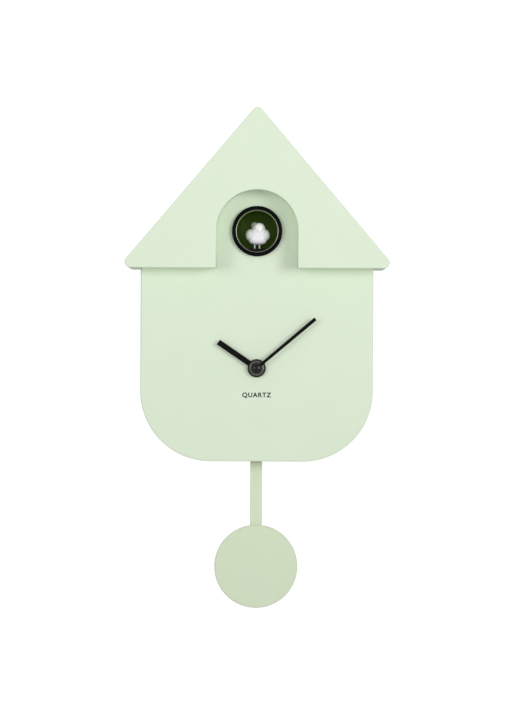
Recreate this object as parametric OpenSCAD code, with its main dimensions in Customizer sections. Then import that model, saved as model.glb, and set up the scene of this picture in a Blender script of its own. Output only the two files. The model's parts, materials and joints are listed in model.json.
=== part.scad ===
// House-shaped wall cuckoo clock with a quartz movement, a sliding bird and a pendulum.
// Origin: centre of the hanger's entry hole on the back plane, which lies on the wall.
// +Z is up and the front faces -Y. All sizes are in millimetres.

/* [Roof] */
// Overall width across the eaves
roof_w = 215; // [212:1:220]
// Height from the eaves to the rounded peak
roof_h = 130.4; // [128:0.1:134]
// Radius of the roof's three rounded corners
roof_r = 4.5; // [4:0.5:5]
// Height of the peak above the wall hanger
peak_z = 45; // [43:1:47]
// Depth of the clock from the wall to the roof's front
clock_d = 85; // [84:1:90]

/* [Body] */
// Width of the body
body_w = 190; // [188:1:192]
// Distance from the peak to the body's underside
body_drop = 288; // [285:0.1:291]
// Radius of the body's lower corners
body_r = 57.5; // [50:0.5:60]
// Depth of the body from the wall to its face
body_d = 62; // [62:1:63]
// Thickness of the moulded walls
wall = 2.5; // [2.3:0.1:2.6]

/* [Bird window] */
// Distance from the peak to the window's centre
ring_drop = 100; // [98:1:102]
// Half the width of the arch cut into the roof
arch_r = 33.2; // [32:0.1:34]
// Outer radius of the black ring
ring_r = 20.6; // [20:0.05:21]
// Radius of the ring's opening
ring_bore_r = 17.1; // [17:0.05:17.3]
// How far the bird comes out
bird_travel = 22; // [15:1:22]

/* [Hands and pendulum] */
// Distance from the peak to the dial's centre
dial_drop = 211.9; // [209:0.1:213]
// Length of the minute hand from the dial's centre
minute_hand_l = 62.7; // [50:0.1:70]
// Length of the hour hand from the dial's centre
hour_hand_l = 37.9; // [30:0.1:45]
// Time that the hands show, in minutes after twelve
shown_time = 608.29; // [0:0.01:719]
// Distance from the peak to the bob's centre
bob_drop = 375; // [364:0.1:384]
// Radius of the bob
bob_r = 34.1; // [30:0.1:36]
// Width of the pendulum's rod
rod_w = 9.8; // [9:0.1:10]

/* [Hidden] */
$fn = 64;

// Heights of the main features
eave_z = peak_z - roof_h;
ring_z = peak_z - ring_drop;
dial_z = peak_z - dial_drop;
base_z = peak_z - body_drop;
bob_z = peak_z - bob_drop;

// Depths of the main faces
face_y = -body_d;
inner_y = face_y + wall;
cover_y = -wall;
roof_back_y = -3;

// Fits
gap = 0.4;
fit = 0.05;
cut = 1;

// Roof outline: each rounded corner's centre, and the angles where its arc starts and ends
roof_slope = atan2(roof_h - 2 * roof_r, roof_w / 2 - roof_r);
roof_corners = [
    [[0, peak_z - roof_r], 90 - roof_slope, 90 + roof_slope],
    [[roof_r - roof_w / 2, eave_z + roof_r], 90 + roof_slope, 270],
    [[roof_w / 2 - roof_r, eave_z + roof_r], 270, 450 - roof_slope]
];
corner_steps = 12;

// Screws: shaft, hole and head radii, and the head's height
screw_r = 1.2;
screw_hole_r = 1.25;
screw_head_r = 2.3;
screw_head_h = 1.4;

// Posts that hold the back cover, as [x, z]
post_r = 4;
cover_posts = [
    [0, peak_z - 21],
    [body_w / 2 - 11, eave_z - 13],
    [11 - body_w / 2, eave_z - 13],
    [body_w / 2 - 19, base_z + 36],
    [19 - body_w / 2, base_z + 36],
    [32, base_z + 10],
    [-32, base_z + 10]
];
// Bosses inside the roof, as [x, z]
roof_bosses = [[0, ring_z + 52], [62, eave_z + 12], [-62, eave_z + 12]];

// Wall hanger: entry hole, neck and the pocket for the screw's head
hanger_r = 4.5;
hanger_neck_r = 2;
hanger_rise = 9;
hanger_pocket = [16, 7, 22];
pocket_wall = 1.5;

// Bird window
ring_front_y = face_y - 4;
ring_tube_r = ring_bore_r + 1.2;
chamber_r = ring_bore_r - 0.3;
chamber_wall = 1.5;
chamber_back_y = -16;
chamber_flange_r = ring_tube_r + 6;
flange_t = 2;
perch_r = chamber_r - gap;
perch_top = -14.2;
perch_w = 12.4;
perch_l = 38;
perch_front_y = face_y - 2.5;
peg_angles = [90, 210, 330];
chamber_pegs = [for (a = peg_angles) [0, ring_z] + polar(ring_tube_r + 3.2, a)];

// The bird: how far it stands behind the perch's front, its turn to the viewer's right and its parts
bird_y = perch_front_y + 10.5;
bird_turn = 15;
breast_r = 7.4;
breast_z = -4.8;
belly_z = -11;
head = [0, -1.5, 2.6];
head_r = 4.5;
tail_r = [5, 3];
tail_l = 9;
leg_x = [-2.4, 1.6];
leg_r = 0.6;
leg_h = 4.2;
foot_r = 1.3;

// Rack and pinion that move the bird
rack_m = 0.8;
rack_pitch = PI * rack_m;
rack_line_z = ring_z - 22;
rack_w = 4;
rack_l = bird_travel + 8;
rack_back_y = -5;
pinion_n = 14;
pinion_y = -31;
pinion_z = rack_line_z - rack_m * pinion_n / 2;
reduction_n = 48;
motor_n = 12;
reduction_m = 0.4;
motor_z = pinion_z - reduction_m * (reduction_n + motor_n) / 2;
guide_w = 2;
frame_x = [-6.5, 9.5];
frame_t = 1.5;
frame_bottom_z = motor_z - 9;
motor_r = 6;
motor_l = 20;
shaft_r = 1;
motor_shaft_r = 0.75;
reduction_x = [5, 7];
gearbox_screws = [[-12, frame_bottom_z + 4], [17, frame_bottom_z + 4]];

// Quartz movement: a square box behind the dial's centre
move_w = 56;
move_wall = 1.5;
move_floor_y = inner_y + move_wall;
move_seam_y = -46;
move_back_y = move_seam_y + move_wall;
bush_r = 3.9;
bush_bore_r = 2.65;
hour_pipe_r = bush_bore_r - fit;
arbor_r = 1.7;
nut_front_y = face_y - 2.4;
pivot_r = 0.5;
pivot_in = 0.7;
train_depth = move_seam_y - move_floor_y;

// Gear teeth: pressure angle, and heights and play as shares of the module and of the pitch
pressure = 20;
addendum = 0.8;
dedendum = 1.05;
slack = 0.12;

// Gear train: teeth, modules and the places of the arbors from the dial's centre
cannon_n = 12;
minute_n = 36;
minute_pinion_n = 12;
hour_n = 48;
centre_n = 90;
third_n = 96;
seconds_n = 60;
fifth_n = 72;
leaf_n = 12;
motion_m = 0.4;
hour_m = 0.32;
centre_m = 0.22;
fine_m = 0.2;
fifth_m = 0.25;
minute_c = [-motion_m * (cannon_n + minute_n) / 2, 0];
knob_c = minute_c - [motion_m * (minute_n + leaf_n) / 2, 0];
third_c = [centre_m * (centre_n + leaf_n) / 2, 0];
seconds_c = third_c + [0, fine_m * (third_n + leaf_n) / 2];
fifth_c = seconds_c - [fifth_m * (seconds_n + leaf_n) / 2, 0];
rotor_c = fifth_c - [fine_m * (fifth_n + leaf_n) / 2, 0];
train_arbors = [third_c, seconds_c, fifth_c, rotor_c];

// Levels of the wheels, measured back from the movement's floor
hour_level = 0.6;
cannon_level = 2.2;
centre_level = 4.2;
third_level = 6.2;
seconds_level = 8.2;
fifth_level = 10;
wheel_t = 0.8;
leaf_t = 1.2;

// Stepper motor: the rotor's magnet, the stator and the coil
rotor_magnet_r = 2;
stator_level = 7.4;
stator_left = -25;
stator_low = dial_z + 7;
leg_w = 2.6;
coil_z = dial_z + 20.5;
coil_x = [-22, -4];
coil_r = [3, 3.6];
core_half = 0.8;
coil_level = stator_level + 0.5;
board_level = 9.2;

// Hands
hour_hand_y = face_y - 4;
minute_hand_y = face_y - 5.8;
hand_t = 0.6;
hour_hand_w = 4.6;
minute_hand_w = [2.5, 2.9];
hub_r = 6.75;
cap_r = 4.45;
cap_h = 2.6;
minute_angle = shown_time * 6;
hour_angle = shown_time / 2;

// Setting knob
knob_r = 7;
knob_y = [-9, -1.2];
knob_hole_r = 8.5;

// Pendulum
pivot_z = dial_z - 38;
pin_r = 1.5;
hanger_y = [-39.5, -36.5];
rod_y = [-36.5, -33.5];
rod_top_z = pivot_z - 13;
hook_z = rod_top_z - 6;
hook_r = 1.2;
magnet_z = pivot_z - 26;
bob_y = [-40, -33];
bob_wall = 2;
swing_slot = [21, 10];
bracket_y = [inner_y + 4, inner_y + 6];
bracket_screws = [[-9, pivot_z + 2], [9, pivot_z + 2], [0, base_z + 6]];

// Batteries: three cells side by side in a tray
cell_r = 7.25;
cell_l = 50;
cell_pitch = 15.2;
cells_c = [body_w / 2 - 33, dial_z + 6];
tray_in = [56, 3 * cell_pitch + 1.2];
tray_d = 16;
tray_wall = 1.5;
door_pin_r = 1;
door_pin_l = 2;
door_pin_y = -1.3;
door_pin_z = cells_c[1] + tray_in[1] / 2 - 1.6;
door_t = 2;
cell_rows = [-1, 0, 1];
cells_y = cover_y - tray_d + cell_r + 0.3;
spring_turns = 3;
spring_steps = 10;
spring_wire = 0.35;
spring_l = 2.9;

// Speaker
speaker_c = [35 - body_w / 2, dial_z + 6];
speaker_r = 25;
speaker_d = 12;
grille_n = 7;
grille_pitch = 5.5;

// Sound board with its switch and button
board_c = [-38, base_z + 32];
board = [48, 30];
board_y = [-14, -12.4];
switch_c = [-50, base_z + 36];
button_c = [-28, base_z + 36];
switch_travel = 4;
button_r = 2.5;
board_screws = [[-58, base_z + 22], [-18, base_z + 22]];

// Light sensor in the underside
sensor_x = 26;
sensor_y = -20;
sensor_r = 2.5;

// ---- shared shapes ----

// A flat shape given in x and z, as thick as y runs from front to back
module slab(front, back) {
    translate([0, back, 0]) rotate([90, 0, 0]) linear_extrude(back - front) children();
}

// A flat shape given in y and z, as thick as x runs from left to right
module slab_x(left, right) {
    translate([left, 0, 0]) rotate([90, 0, 90]) linear_extrude(right - left) children();
}

// A round bar along Y at c, given as [x, z]
module bar(c, r, front, back) {
    translate([c[0], back, c[1]]) rotate([90, 0, 0]) cylinder(r = r, h = back - front);
}

// A block between two corners
module block(low, high) {
    translate(low) cube(high - low);
}

// A screw along Y that enters from behind: its head's front face is at seat
module screw(c, seat, length) {
    bar(c, screw_r, seat - length, seat);
    difference() {
        bar(c, screw_head_r, seat, seat + screw_head_h);
        translate([c[0], seat + screw_head_h, c[1]])
            cube([2.8, 1, 0.6], center = true);
        translate([c[0], seat + screw_head_h, c[1]])
            cube([0.6, 1, 2.8], center = true);
    }
}

// The roof's triangle with its corners rounded to r
module roof_outline(r) {
    polygon([
        for (c = roof_corners)
            for (i = [0:corner_steps]) c[0] + polar(r, c[1] + (c[2] - c[1]) * i / corner_steps)
    ]);
}

// The arch around the bird window, running down past the eaves
module arch_outline(r) {
    translate([0, ring_z]) circle(r);
    translate([-r, eave_z - cut]) square([2 * r, ring_z - eave_z + cut]);
}

// The body's outline, drawn in by inset: a gable that fits under the roof, over a rounded base
module body_outline(inset) {
    half = body_w / 2 - inset;
    r = body_r - inset;
    low = base_z + inset;
    top = peak_z - roof_r + 1 - inset;
    apex = peak_z - roof_r + (roof_r - wall - gap - inset) / cos(roof_slope);
    run = roof_w;
    intersection() {
        union() {
            translate([-half, low + r]) square([2 * half, top - low - r]);
            translate([r - half, low]) square([2 * (half - r), top - low]);
            for (side = [-1, 1]) translate([side * (half - r), low + r]) circle(r);
        }
        polygon([
            [0, apex],
            [run, apex - run * tan(roof_slope)],
            [run, 2 * base_z],
            [-run, 2 * base_z],
            [-run, apex - run * tan(roof_slope)]
        ]);
    }
}

// ---- gears ----

// Roll angle of an involute, in degrees
function involute(angle) = tan(angle) * 180 / PI - angle;

// Half the angle that a tooth fills at radius r
function half_tooth(n, m, r) =
    let (base = m * n / 2 * cos(pressure))
    90 / n * (1 - slack) + involute(pressure) - involute(acos(min(1, base / r)));

function polar(r, a) = [r * cos(a), r * sin(a)];

// A spur gear's outline with one tooth centred at the angle given by turn
module gear(n, m, turn) {
    pitch_r = m * n / 2;
    root = pitch_r - dedendum * m;
    tip = pitch_r + addendum * m;
    base = pitch_r * cos(pressure);
    start = max(base, root) + 0.02 * m;
    at_start = half_tooth(n, m, start);
    at_tip = half_tooth(n, m, tip);
    polygon([
        for (i = [0:n - 1])
            let (a = turn + i * 360 / n)
            each [
                polar(root, a - at_start - 0.1),
                polar(start, a - at_start),
                polar(tip, a - at_tip),
                polar(tip, a + at_tip),
                polar(start, a + at_start),
                polar(root, a + at_start + 0.1)
            ]
    ]);
}

// Turn of a gear with n teeth that meshes, in the direction given, with one of by teeth
function mesh(direction, by, by_turn, n) =
    direction + 180 - 360 / n * (0.5 - (direction - by_turn) * by / 360);

// Turns of every wheel and pinion at rest
minute_turn = mesh(180, cannon_n, 0, minute_n);
knob_turn = mesh(180, minute_n, minute_turn, leaf_n);
hour_turn = mesh(0, minute_pinion_n, 0, hour_n);
third_pinion_turn = mesh(0, centre_n, 0, leaf_n);
seconds_pinion_turn = mesh(90, third_n, 0, leaf_n);
fifth_pinion_turn = mesh(180, seconds_n, 0, leaf_n);
rotor_turn = mesh(180, fifth_n, 0, leaf_n);
pinion_turn = 90 + 180 / pinion_n;
motor_turn = mesh(-90, reduction_n, 0, motor_n);

// A wheel or pinion of the movement: its front face lies back from the floor by level
module train_gear(c, level, t, n, m, turn) {
    y = move_floor_y + level;
    slab(y, y + t) translate([c[0], dial_z + c[1]]) gear(n, m, turn);
}

// A bar on the movement's arbor at c, between two levels
module train_bar(c, r, low, high) {
    bar([c[0], dial_z + c[1]], r, move_floor_y + low, move_floor_y + high);
}

// An arbor with a pivot at each end, one in the case and one in the cover
module arbor(c) {
    train_bar(c, pivot_r, -pivot_in, train_depth + pivot_in);
}

// The bearings of the train's arbors, as holes
module train_bearings() {
    for (c = train_arbors)
        train_bar(c, pivot_r + fit, -pivot_in - 0.2, train_depth + pivot_in + 0.2);
}

// ---- housing ----

module front_housing() {
    color([0.87, 0.93, 0.83])
    difference() {
        union() {
            difference() {
                slab(face_y, 0) body_outline(0);
                slab(inner_y, cut) body_outline(wall);
            }
            for (c = cover_posts) bar(c, post_r, inner_y, cover_y);
            for (c = bracket_screws) bar(c, 3, inner_y, bracket_y[0]);
            for (c = gearbox_screws) bar(c, 3, inner_y, inner_y + 4);
            for (c = board_screws) bar(c, 3, inner_y, board_y[0]);
            for (c = chamber_pegs) bar(c, screw_r, inner_y, inner_y + flange_t + 0.8);
        }
        for (c = cover_posts) bar(c, screw_hole_r, cover_y - 14, cover_y + cut);
        for (c = bracket_screws) bar(c, screw_hole_r, inner_y, bracket_y[0] + cut);
        for (c = gearbox_screws) bar(c, screw_hole_r, inner_y, inner_y + 4 + cut);
        for (c = board_screws) bar(c, screw_hole_r, board_y[0] - 8, board_y[0] + cut);
        for (c = roof_bosses) bar(c, screw_hole_r + 0.2, face_y - cut, inner_y + cut);
        bar([0, ring_z], ring_tube_r + fit, face_y - cut, inner_y + cut);
        bar([0, dial_z], bush_r + 0.1, face_y - cut, inner_y + cut);
        swing_mid = (rod_y[0] + rod_y[1]) / 2;
        block([-swing_slot[0] / 2, swing_mid - swing_slot[1] / 2, base_z - cut],
              [swing_slot[0] / 2, swing_mid + swing_slot[1] / 2, base_z + wall + cut]);
        translate([sensor_x, sensor_y, base_z - cut]) cylinder(r = sensor_r + fit, h = wall + 2 * cut);
    }
}

module roof_cover() {
    color([0.88, 0.94, 0.85])
    difference() {
        union() {
            difference() {
                slab(-clock_d, roof_back_y) roof_outline(roof_r);
                slab(-clock_d + wall, roof_back_y + cut) roof_outline(roof_r - wall);
            }
            slab(-clock_d + wall, face_y) intersection() {
                arch_outline(arch_r + wall);
                roof_outline(roof_r - wall / 2);
            }
            for (c = roof_bosses) bar(c, post_r, -clock_d + wall, face_y);
        }
        slab(-clock_d - cut, face_y + cut) arch_outline(arch_r);
        for (c = roof_bosses) bar(c, screw_hole_r, face_y - 10, face_y + cut);
        block([-body_w / 2 - gap, face_y, eave_z - cut],
              [body_w / 2 + gap, cut, eave_z + wall + cut]);
    }
}

module back_cover() {
    pocket = hanger_pocket;
    color([0.85, 0.91, 0.81])
    difference() {
        union() {
            slab(cover_y, 0) body_outline(wall + gap);
            block([-pocket[0] / 2 - pocket_wall, cover_y - pocket[1] - pocket_wall, -8 - pocket_wall],
                  [pocket[0] / 2 + pocket_wall, cover_y, pocket[2] - 8 + pocket_wall]);
        }
        block([-pocket[0] / 2, cover_y - pocket[1], -8], [pocket[0] / 2, cover_y, pocket[2] - 8]);
        bar([0, 0], hanger_r, cover_y - cut, cut);
        bar([0, hanger_rise], hanger_neck_r, cover_y - cut, cut);
        block([-hanger_neck_r, cover_y - cut, 0], [hanger_neck_r, cut, hanger_rise]);
        for (c = cover_posts) {
            bar(c, screw_r + 0.3, cover_y - cut, cut);
            bar(c, screw_head_r + 0.4, -screw_head_h - 0.2, cut);
        }
        bar([knob_c[0], dial_z + knob_c[1]], knob_hole_r, cover_y - cut, cut);
        tray_opening(0, cover_y - cut, cut);
        for (side = [-1, 1]) door_pin_slot(side);
        for (i = [0:grille_n - 1])
            let (dx = (i - (grille_n - 1) / 2) * grille_pitch,
                 h = sqrt(pow(speaker_r - 5, 2) - dx * dx))
            block([speaker_c[0] + dx - 1.2, cover_y - cut, speaker_c[1] - h],
                  [speaker_c[0] + dx + 1.2, cut, speaker_c[1] + h]);
        block([switch_c[0] - 3 - switch_travel / 2, cover_y - cut, switch_c[1] - 2],
              [switch_c[0] + 3 + switch_travel / 2, cut, switch_c[1] + 2]);
        bar(button_c, button_r + 0.3, cover_y - cut, cut);
    }
}

// ---- bird window ----

module bezel_ring() {
    color([0.06, 0.06, 0.06])
    translate([0, 0, ring_z]) rotate([90, 0, 0]) rotate_extrude() polygon([
        [ring_bore_r, -inner_y],
        [ring_tube_r, -inner_y],
        [ring_tube_r, -face_y],
        [ring_r, -face_y],
        [ring_r, -ring_front_y - 0.8],
        [ring_r - 0.8, -ring_front_y],
        [ring_bore_r + 0.6, -ring_front_y],
        [ring_bore_r, -ring_front_y - 0.6]
    ]);
}

module bird_chamber() {
    color([0.16, 0.2, 0.08])
    difference() {
        union() {
            bar([0, ring_z], chamber_r + chamber_wall, inner_y, chamber_back_y);
            bar([0, ring_z], chamber_flange_r, inner_y, inner_y + flange_t);
        }
        bar([0, ring_z], chamber_r, inner_y - cut, chamber_back_y - chamber_wall);
        block([-rack_w / 2 - gap, inner_y + flange_t + 0.2, ring_z - chamber_r - 3],
              [rack_w / 2 + gap, chamber_back_y - chamber_wall, ring_z - 12]);
        for (c = chamber_pegs) bar(c, screw_r + fit, inner_y - cut, inner_y + flange_t + cut);
    }
}

// The perch that carries the bird, with the rack below it
module bird_slider() {
    rack_front = rack_back_y - rack_l;
    web_back = perch_front_y + perch_l;
    rack_top = ring_z - chamber_r - chamber_wall - gap;
    color([0.07, 0.07, 0.07]) {
        slab(perch_front_y, web_back) intersection() {
            translate([0, ring_z]) circle(perch_r);
            translate([-perch_w / 2, ring_z - perch_r]) square([perch_w, perch_r + perch_top]);
        }
        block([-rack_w / 2, rack_front, rack_top - cut], [rack_w / 2, web_back, ring_z - perch_r + 0.5]);
        slab_x(-rack_w / 2, rack_w / 2) difference() {
            translate([rack_front, rack_line_z - 1.05 * rack_m])
                square([rack_l, rack_top - rack_line_z + 1.05 * rack_m]);
            rack_gaps(rack_front);
        }
    }
}

// The gaps between the rack's teeth, cut into its lower edge
module rack_gaps(front) {
    half = rack_pitch / 4 * (1 + slack);
    rise = 1.05 * rack_m * tan(pressure);
    first = floor((front - pinion_y) / rack_pitch) - 1;
    last = ceil((rack_back_y - pinion_y) / rack_pitch);
    for (i = [first:last])
        translate([pinion_y + (i + 0.5) * rack_pitch, rack_line_z]) polygon([
            [-half - rise - 0.4, -1.05 * rack_m - cut],
            [-half - addendum * rack_m * tan(pressure), -addendum * rack_m],
            [-half + rise, 1.05 * rack_m],
            [half - rise, 1.05 * rack_m],
            [half + addendum * rack_m * tan(pressure), -addendum * rack_m],
            [half + rise + 0.4, -1.05 * rack_m - cut]
        ]);
    // Tooth tips end at the addendum, above the pinion's roots
    translate([front - cut, rack_line_z - 3 * rack_m])
        square([rack_l + 2 * cut, (3 - addendum) * rack_m]);
}

// Puts the bird's parts on the perch, turned a little to the viewer's right
module on_perch() {
    translate([0, bird_y, ring_z]) rotate([0, 0, bird_turn]) children();
}

module bird_body() {
    color([0.96, 0.96, 0.96])
    on_perch() {
        translate([0, 0, belly_z]) rotate_extrude() intersection() {
            translate([0, breast_z - belly_z]) circle(breast_r);
            square([10, 20]);
        }
        translate(head) sphere(head_r);
        translate([0, 5, -3]) rotate([-50, 0, 0]) cylinder(r1 = tail_r[0], r2 = tail_r[1], h = tail_l);
    }
}

module bird_wings() {
    color([0.9, 0.9, 0.9])
    on_perch()
    for (side = [-1, 1])
        slab_x(side > 0 ? 7.5 : -9.2, side > 0 ? 9.2 : -7.5)
            polygon([[-5, -1], [-3, 2], [2, 2], [7, -3], [9, -7], [1, -6], [-4, -4]]);
}

module bird_beak() {
    color([0.93, 0.93, 0.93])
    on_perch() translate([0, -5.6, 1.6]) rotate([105, 0, 0]) cylinder(r1 = 1.7, r2 = 0.3, h = 3.2);
}

module bird_legs() {
    color([0.8, 0.8, 0.8])
    for (x = leg_x) {
        translate([x, bird_y, ring_z + perch_top]) cylinder(r = leg_r, h = leg_h);
        translate([x, bird_y - 1, ring_z + perch_top]) cylinder(r = foot_r, h = leg_r);
    }
}

// Channel under the chamber that keeps the rack straight
module slide_guide() {
    guide_top = ring_z - chamber_r - 1;
    color([0.2, 0.2, 0.2])
    difference() {
        union() {
            block([-rack_w / 2 - gap - guide_w, inner_y + 6, rack_line_z + 0.9],
                  [rack_w / 2 + gap + guide_w, chamber_back_y - 2, guide_top]);
        }
        block([-rack_w / 2 - gap, inner_y, rack_line_z - cut],
              [rack_w / 2 + gap, 0, guide_top + cut]);
        bar([0, ring_z], chamber_r + chamber_wall + fit, inner_y, 0);
    }
}

module gearbox_frame() {
    y = inner_y + 4;
    color([0.25, 0.25, 0.27])
    difference() {
        union() {
            block([-15.5, y, frame_bottom_z], [20.5, y + 2, rack_line_z - 4]);
            for (x = frame_x)
                block([x, y, frame_bottom_z], [x + frame_t, pinion_y + 9, rack_line_z - 0.5]);
            block([frame_x[0], y, frame_bottom_z],
                  [frame_x[1] + frame_t, pinion_y + 9, frame_bottom_z + frame_t]);
        }
        translate([frame_x[0] - cut, pinion_y, pinion_z]) rotate([0, 90, 0])
            cylinder(r = shaft_r + fit, h = frame_x[1] - frame_x[0] + frame_t + 2 * cut);
        translate([frame_x[1] - cut, pinion_y, motor_z]) rotate([0, 90, 0])
            cylinder(r = 1.6, h = frame_t + 2 * cut);
        for (c = gearbox_screws) bar(c, screw_r + 0.2, y - cut, y + 2 + cut);
    }
}

// The drive pinion and the wheel that the motor turns, on one shaft
module reduction_gear() {
    color([0.93, 0.92, 0.86]) {
        slab_x(-1.8, 1.8) translate([pinion_y, pinion_z]) gear(pinion_n, rack_m, pinion_turn);
        slab_x(1.8, reduction_x[0]) translate([pinion_y, pinion_z]) circle(2.6);
        slab_x(reduction_x[0], reduction_x[1]) translate([pinion_y, pinion_z])
            gear(reduction_n, reduction_m, 0);
        slab_x(frame_x[0] + 0.1, frame_x[1] + frame_t - 0.1) translate([pinion_y, pinion_z]) circle(shaft_r);
    }
}

module motor_pinion() {
    color([0.85, 0.72, 0.4]) {
        slab_x(reduction_x[0] - 0.4, reduction_x[1] + 0.4) translate([pinion_y, motor_z])
            gear(motor_n, reduction_m, motor_turn);
        slab_x(reduction_x[1] + 0.4, 12) translate([pinion_y, motor_z]) circle(motor_shaft_r);
    }
}

module bird_motor() {
    left = frame_x[1] + frame_t;
    color([0.75, 0.76, 0.78])
    translate([left, pinion_y, motor_z]) rotate([0, 90, 0]) difference() {
        union() {
            cylinder(r = motor_r, h = motor_l);
            translate([0, 0, motor_l]) cylinder(r = 2.2, h = 1.2);
            translate([0, 0, -frame_t]) cylinder(r = 1.5, h = frame_t);
        }
        translate([0, 0, -frame_t - cut]) cylinder(r = motor_shaft_r + fit, h = frame_t + cut + 2);
    }
}

// ---- quartz movement ----

module movement_case() {
    half = move_w / 2;
    color([0.08, 0.08, 0.09])
    difference() {
        union() {
            difference() {
                block([-half, inner_y, dial_z - half], [half, move_seam_y, dial_z + half]);
                block([move_wall - half, move_floor_y, dial_z - half + move_wall],
                      [half - move_wall, move_seam_y + cut, dial_z + half - move_wall]);
            }
            bar([0, dial_z], bush_r, nut_front_y - 0.6, inner_y + cut);
            train_bar(minute_c, pivot_r, -cut, cannon_level + leaf_t + 0.3);
            for (c = train_arbors) train_bar(c, 1, -cut, 0.5);
        }
        bar([0, dial_z], bush_bore_r, nut_front_y - cut, move_floor_y + cut);
        train_bearings();
        train_bar(knob_c, 1 + fit, -1, cut);
    }
}

module movement_cover() {
    half = move_w / 2;
    color([0.1, 0.1, 0.11])
    difference() {
        block([-half, move_seam_y, dial_z - half], [half, move_back_y, dial_z + half]);
        train_bearings();
        train_bar([0, 0], 0.8 + fit, train_depth - cut, train_depth + 1);
        train_bar(knob_c, 1 + fit, train_depth - cut, train_depth + move_wall + cut);
    }
}

module rubber_washer() {
    color([0.15, 0.15, 0.15])
    difference() {
        bar([0, dial_z], 7.5, face_y - 0.8, face_y);
        bar([0, dial_z], bush_r + 0.1, face_y - cut, face_y + cut);
    }
}

module centre_nut() {
    color([0.8, 0.68, 0.35])
    difference() {
        slab(nut_front_y, face_y - 0.8) translate([0, dial_z]) circle(6.2, $fn = 6);
        bar([0, dial_z], bush_r + 0.02, nut_front_y - cut, face_y + cut);
    }
}

// The arbor that carries the minute hand, with its pinion
module cannon_pinion() {
    color([0.82, 0.7, 0.4]) {
        train_gear([0, 0], cannon_level, leaf_t, cannon_n, motion_m, 0);
        bar([0, dial_z], arbor_r, minute_hand_y - hand_t - 0.4, move_floor_y + centre_level + leaf_t);
        train_bar([0, 0], 0.8, centre_level, train_depth + 0.8);
    }
}

module centre_wheel() {
    color([0.93, 0.92, 0.86])
    difference() {
        train_gear([0, 0], centre_level, wheel_t, centre_n, centre_m, 0);
        train_bar([0, 0], arbor_r, 0, train_depth);
        wheel_windows([0, 0], 3.6, 7.6);
    }
}

// Four round windows that lighten a wheel
module wheel_windows(c, inner, outer) {
    for (a = [45:90:359])
        train_bar(c + polar((inner + outer) / 2, a), (outer - inner) / 2, 0, train_depth);
}

module minute_wheel() {
    color([0.93, 0.92, 0.86])
    difference() {
        union() {
            train_gear(minute_c, cannon_level, leaf_t, minute_n, motion_m, minute_turn);
            train_gear(minute_c, hour_level - 0.2, cannon_level - hour_level + 0.2,
                       minute_pinion_n, hour_m, 0);
        }
        train_bar(minute_c, pivot_r + fit, 0, train_depth);
        wheel_windows(minute_c, 2.6, 5.6);
    }
}

module hour_wheel() {
    color([0.93, 0.92, 0.86])
    difference() {
        union() {
            train_gear([0, 0], hour_level, cannon_level - hour_level - 0.6, hour_n, hour_m, hour_turn);
            bar([0, dial_z], hour_pipe_r, hour_hand_y - hand_t, move_floor_y + hour_level + cut * 0.5);
        }
        bar([0, dial_z], arbor_r + fit, hour_hand_y - 2, move_floor_y + 3);
    }
}

module third_wheel() {
    color([0.93, 0.92, 0.86]) {
        train_gear(third_c, centre_level - 0.1, leaf_t - 0.2, leaf_n, centre_m, third_pinion_turn);
        train_gear(third_c, third_level, wheel_t, third_n, fine_m, 0);
        train_bar(third_c, 1, centre_level + leaf_t - 0.3, third_level);
        arbor(third_c);
    }
}

module seconds_wheel() {
    color([0.93, 0.92, 0.86]) {
        train_gear(seconds_c, third_level - 0.1, leaf_t - 0.2, leaf_n, fine_m, seconds_pinion_turn);
        train_gear(seconds_c, seconds_level, wheel_t, seconds_n, fifth_m, 0);
        train_bar(seconds_c, 0.9, third_level + leaf_t - 0.3, seconds_level);
        arbor(seconds_c);
    }
}

module fifth_wheel() {
    color([0.93, 0.92, 0.86]) {
        train_gear(fifth_c, seconds_level - 0.1, leaf_t - 0.2, leaf_n, fifth_m, fifth_pinion_turn);
        train_gear(fifth_c, fifth_level, wheel_t, fifth_n, fine_m, 0);
        train_bar(fifth_c, 1, seconds_level + leaf_t - 0.3, fifth_level);
        arbor(fifth_c);
    }
}

// Stepper rotor: a small round magnet with a pinion behind it
module step_rotor() {
    color([0.35, 0.35, 0.38]) {
        train_bar(rotor_c, rotor_magnet_r, stator_level - 0.5, stator_level + 1.5);
        train_bar(rotor_c, 0.8, stator_level + 1.5, fifth_level);
        train_gear(rotor_c, fifth_level - 0.1, leaf_t - 0.2, leaf_n, fine_m, rotor_turn);
        arbor(rotor_c);
    }
}

module stator() {
    y = move_floor_y + stator_level;
    right = coil_x[1] + 3;
    color([0.7, 0.7, 0.72])
    difference() {
        union() {
            slab(y, y + 1) {
                translate([stator_left, stator_low]) square([right - stator_left, 7.6]);
                for (x = [stator_left, right - leg_w])
                    translate([x, stator_low]) square([leg_w, coil_z + 2.9 - stator_low]);
            }
            block([stator_left + 2, y, coil_z - core_half], [right - 2, y + 1, coil_z + core_half]);
        }
        train_bar(rotor_c, rotor_magnet_r + gap, 0, train_depth);
    }
}

module step_coil() {
    y = move_floor_y + coil_level;
    color([0.72, 0.4, 0.2])
    difference() {
        translate([0, y, coil_z]) rotate([0, 90, 0]) union() {
            for (x = [coil_x[0], coil_x[1] - 1]) translate([0, 0, x]) cylinder(r = coil_r[1], h = 1);
            translate([0, 0, coil_x[0]]) cylinder(r = coil_r[0], h = coil_x[1] - coil_x[0]);
        }
        block([stator_left, y - 0.5, coil_z - core_half], [0, y + 0.5, coil_z + core_half]);
    }
}

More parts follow.
